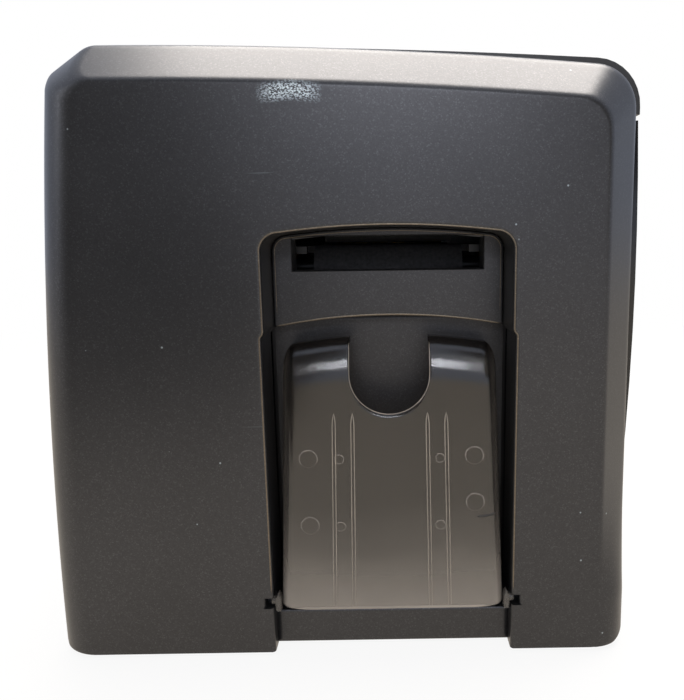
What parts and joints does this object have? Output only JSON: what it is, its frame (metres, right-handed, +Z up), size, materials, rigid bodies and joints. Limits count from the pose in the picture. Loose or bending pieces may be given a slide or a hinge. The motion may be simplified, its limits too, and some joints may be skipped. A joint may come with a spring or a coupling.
{
  "type": "id card printer",
  "caption": "Desktop plastic-card printer with bevelled end covers, a rear-hinged top cover, a card hopper at one end and a drop-down smoky card tray in a recess at the other.",
  "frame": {"origin": "middle of the underside, on the plane that the rubber feet stand on", "axes": "+X along the card path towards the hopper end, +Y to the rear, +Z up"},
  "size_m": [0.348, 0.1999, 0.2016],
  "materials": {
    "gunmetal_paint": "satin metallic paint on moulded ABS",
    "black_cover": "fine-grained black ABS",
    "gloss_black": "gloss black ABS",
    "dark_plastic": "dark grey moulded plastic",
    "grey_plastic": "grey moulded plastic",
    "white_plastic": "white acetal",
    "smoke_clear": "smoky clear polycarbonate",
    "zinc_steel": "zinc-plated sheet steel",
    "bright_steel": "ground steel",
    "roller_rubber": "ground silicone rubber",
    "foot_rubber": "moulded black rubber",
    "bronze": "sintered bronze",
    "brass": "machined brass",
    "head_aluminium": "anodised aluminium",
    "motor_steel": "black-coated steel",
    "belt_rubber": "moulded neoprene",
    "film": "dye-coated polyester film",
    "board_green": "solder-masked circuit board",
    "display_glass": "tinted acrylic",
    "light_lens": "diffusing acrylic"
  },
  "bodies": {
    "housing": {"left_end_cover": "gunmetal_paint", "right_end_cover": "gunmetal_paint", "front_panel": "gloss_black", "rear_cover": "dark_plastic", "base_pan": "zinc_steel", "rubber_feet": "foot_rubber", "chassis_screws": "bright_steel", "cover_screws": "bright_steel", "hinge_pins": "bright_steel", "exit_bezel": "black_cover", "hopper_bin": "dark_plastic", "pusher_rod": "bright_steel", "front_frame": "zinc_steel", "rear_frame": "zinc_steel", "tie_bars": "bright_steel", "card_guides": "dark_plastic", "shaft_bushes": "bronze", "pinch_springs": "bright_steel", "drive_belt": "belt_rubber", "motor_bracket": "zinc_steel", "card_motor": "motor_steel", "ribbon_motor": "motor_steel", "ribbon_cartridge": "white_plastic", "ribbon_film": "film", "display_module": "board_green", "display_lens": "display_glass", "status_light": "light_lens", "main_board": "board_green", "power_supply": "zinc_steel", "power_inlet": "dark_plastic", "cooling_fan": "dark_plastic"},
    "lid": {"top_cover": "black_cover", "head_bracket": "zinc_steel", "print_head": "head_aluminium", "lid_catch": "dark_plastic"},
    "tray": {"output_tray": "smoke_clear"},
    "door": {"hopper_door": "smoke_clear"},
    "pusher": {"card_pusher": "grey_plastic"},
    "release": {"release_button": "grey_plastic"},
    "pause": {"pause_button": "grey_plastic"},
    "feed": {"feed_button": "grey_plastic"},
    "rocker": {"rocker_switch": "gloss_black"},
    "fan": {"fan_rotor": "dark_plastic"},
    "pick_drive": {"pick_roller": "roller_rubber", "pick_shaft": "bright_steel"},
    "cleaning_drive": {"cleaning_roller": "roller_rubber", "cleaning_shaft": "bright_steel"},
    "platen_drive": {"platen_roller": "roller_rubber", "platen_shaft": "bright_steel"},
    "transport_drive": {"transport_roller": "roller_rubber", "transport_shaft": "bright_steel"},
    "exit_drive": {"exit_roller": "roller_rubber", "exit_shaft": "bright_steel"},
    "transport_idler": {"transport_pinch": "grey_plastic"},
    "exit_idler": {"exit_pinch": "grey_plastic"},
    "motor_pinion": {"card_pinion": "brass"},
    "take_up": {"take_up_spool": "film", "take_up_gear": "white_plastic"},
    "winder_pinion": {"ribbon_pinion": "brass"},
    "supply": {"supply_spool": "film"}
  },
  "joints": [
    {"name": "lid_hinge", "type": "hinge", "parent": "housing", "child": "lid", "pos_m": [0, 0.07, 0.1955], "axis": [-1, 0, 0], "range_deg": [0, 80]},
    {"name": "tray_hinge", "type": "hinge", "parent": "housing", "child": "tray", "pos_m": [-0.1713, -0.0171, 0.0197], "axis": [0, -1, 0], "range_deg": [0, 70]},
    {"name": "door_hinge", "type": "hinge", "parent": "housing", "child": "door", "pos_m": [0.1714, -0.0171, 0.1345], "axis": [0, 1, 0], "range_deg": [0, 90]},
    {"name": "pusher_slide", "type": "slide", "parent": "housing", "child": "pusher", "axis": [0, 0, 1], "range_m": [0, 0.03]},
    {"name": "release_press", "type": "slide", "parent": "housing", "child": "release", "axis": [0, 1, 0], "range_m": [0, 0.0025], "stiffness_N_per_m": 400},
    {"name": "pause_press", "type": "slide", "parent": "housing", "child": "pause", "axis": [0, 1, 0], "range_m": [0, 0.0012], "stiffness_N_per_m": 400},
    {"name": "feed_press", "type": "slide", "parent": "housing", "child": "feed", "axis": [0, 1, 0], "range_m": [0, 0.0012], "stiffness_N_per_m": 400},
    {"name": "rocker_tilt", "type": "hinge", "parent": "housing", "child": "rocker", "pos_m": [-0.142, 0.093, 0.032], "axis": [1, 0, 0], "range_deg": [0, 16]},
    {"name": "fan_spin", "type": "hinge", "parent": "housing", "child": "fan", "pos_m": [0.11, 0.0839, 0.12], "axis": [0, 1, 0], "continuous": true},
    {"name": "pick_spin", "type": "hinge", "parent": "housing", "child": "pick_drive", "pos_m": [0.106, -0.0171, 0.1315], "axis": [0, 1, 0], "continuous": true},
    {"name": "cleaning_spin", "type": "hinge", "parent": "housing", "child": "cleaning_drive", "pos_m": [0.044, -0.0171, 0.1315], "axis": [0, 1, 0], "continuous": true},
    {"name": "platen_spin", "type": "hinge", "parent": "housing", "child": "platen_drive", "pos_m": [-0.02, -0.0171, 0.1315], "axis": [0, 1, 0], "continuous": true},
    {"name": "transport_spin", "type": "hinge", "parent": "housing", "child": "transport_drive", "pos_m": [-0.098, -0.0171, 0.1315], "axis": [0, 1, 0], "continuous": true},
    {"name": "exit_spin", "type": "hinge", "parent": "housing", "child": "exit_drive", "pos_m": [-0.126, -0.0171, 0.1315], "axis": [0, 1, 0], "continuous": true},
    {"name": "transport_idler_spin", "type": "hinge", "parent": "housing", "child": "transport_idler", "pos_m": [-0.098, -0.0171, 0.1454], "axis": [0, 1, 0], "continuous": true},
    {"name": "exit_idler_spin", "type": "hinge", "parent": "housing", "child": "exit_idler", "pos_m": [-0.126, -0.0171, 0.1454], "axis": [0, 1, 0], "continuous": true},
    {"name": "motor_spin", "type": "hinge", "parent": "housing", "child": "motor_pinion", "pos_m": [-0.02, 0.035, 0.1099], "axis": [0, 1, 0], "continuous": true},
    {"name": "take_up_spin", "type": "hinge", "parent": "housing", "child": "take_up", "pos_m": [-0.068, -0.0171, 0.166], "axis": [0, 1, 0], "continuous": true},
    {"name": "winder_spin", "type": "hinge", "parent": "housing", "child": "winder_pinion", "pos_m": [-0.08158, 0.035, 0.15242], "axis": [0, 1, 0], "continuous": true},
    {"name": "supply_spin", "type": "hinge", "parent": "housing", "child": "supply", "pos_m": [0.028, -0.0171, 0.166], "axis": [0, 1, 0], "continuous": true}
  ],
  "couplings": [
    {"joint": "pick_spin", "follows": "platen_spin", "ratio": 1},
    {"joint": "cleaning_spin", "follows": "platen_spin", "ratio": 1},
    {"joint": "transport_spin", "follows": "platen_spin", "ratio": 1},
    {"joint": "exit_spin", "follows": "platen_spin", "ratio": 1},
    {"joint": "transport_idler_spin", "follows": "platen_spin", "ratio": -1.6},
    {"joint": "exit_idler_spin", "follows": "platen_spin", "ratio": -1.6},
    {"joint": "motor_spin", "follows": "platen_spin", "ratio": -2.8571},
    {"joint": "winder_spin", "follows": "take_up_spin", "ratio": -3},
    {"joint": "supply_spin", "follows": "take_up_spin", "ratio": 0.6}
  ]
}
